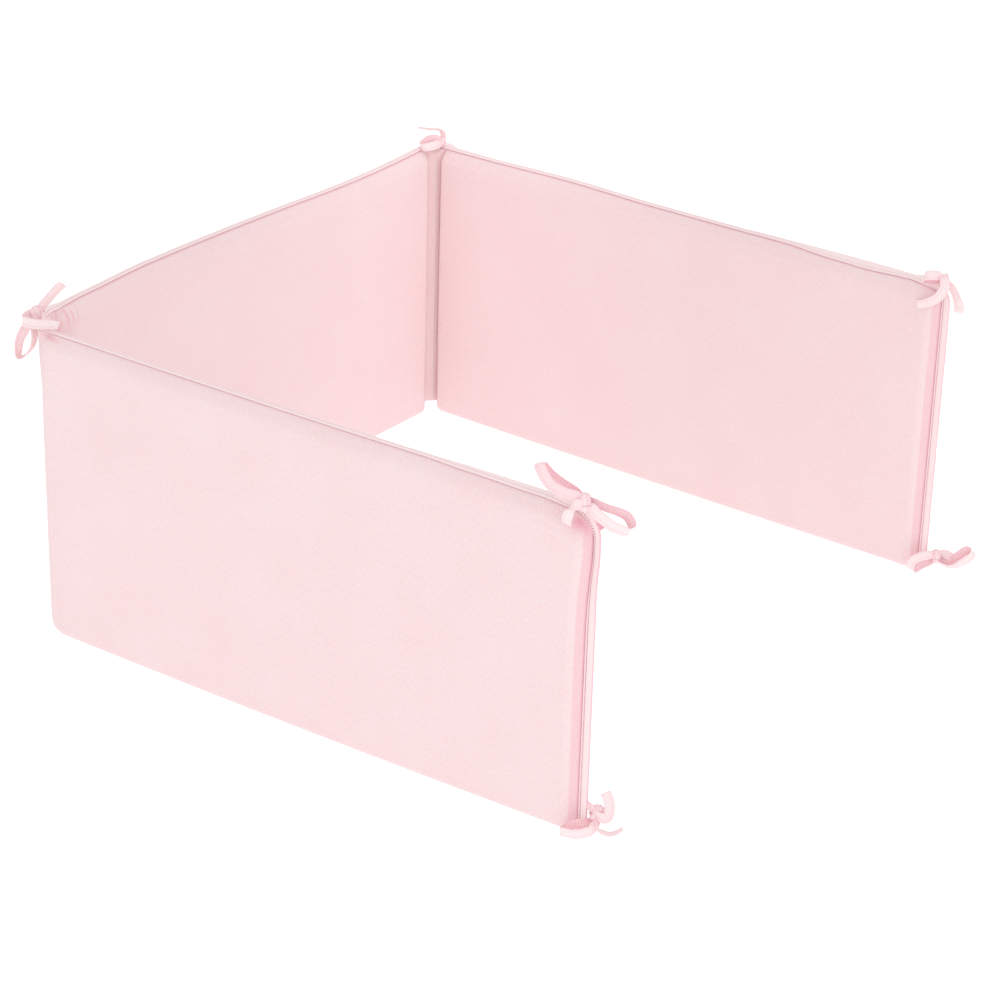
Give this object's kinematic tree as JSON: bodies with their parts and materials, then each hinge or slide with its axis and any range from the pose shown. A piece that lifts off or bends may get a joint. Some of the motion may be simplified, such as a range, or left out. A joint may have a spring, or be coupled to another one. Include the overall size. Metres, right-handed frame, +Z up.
{
  "type": "crib bumper",
  "caption": "Padded jersey crib bumper of three foam-filled sides, standing as a U, with a tape-bound top edge and tied tape bows at its corners and free ends.",
  "frame": {"origin": "centre of the footprint's bounding box, on the surface that the lower edge rests on", "axes": "+Z up; +X towards the open side of the U, along sides A (low Y) and C (high Y); head side B runs along Y at low X"},
  "size_m": [0.6958, 0.6714, 0.3354],
  "materials": {
    "jersey": "matte fine-knit cotton jersey, pale pink",
    "tape": "matte cross-ribbed elastic tape, pale pink"
  },
  "bodies": {
    "root": {"cover": "jersey", "binding": "tape", "bow_front_top": "tape", "bow_front_bottom": "tape", "bow_corner_left": "tape", "bow_corner_back": "tape", "bow_right_top": "tape", "bow_right_bottom": "tape"}
  },
  "joints": []
}
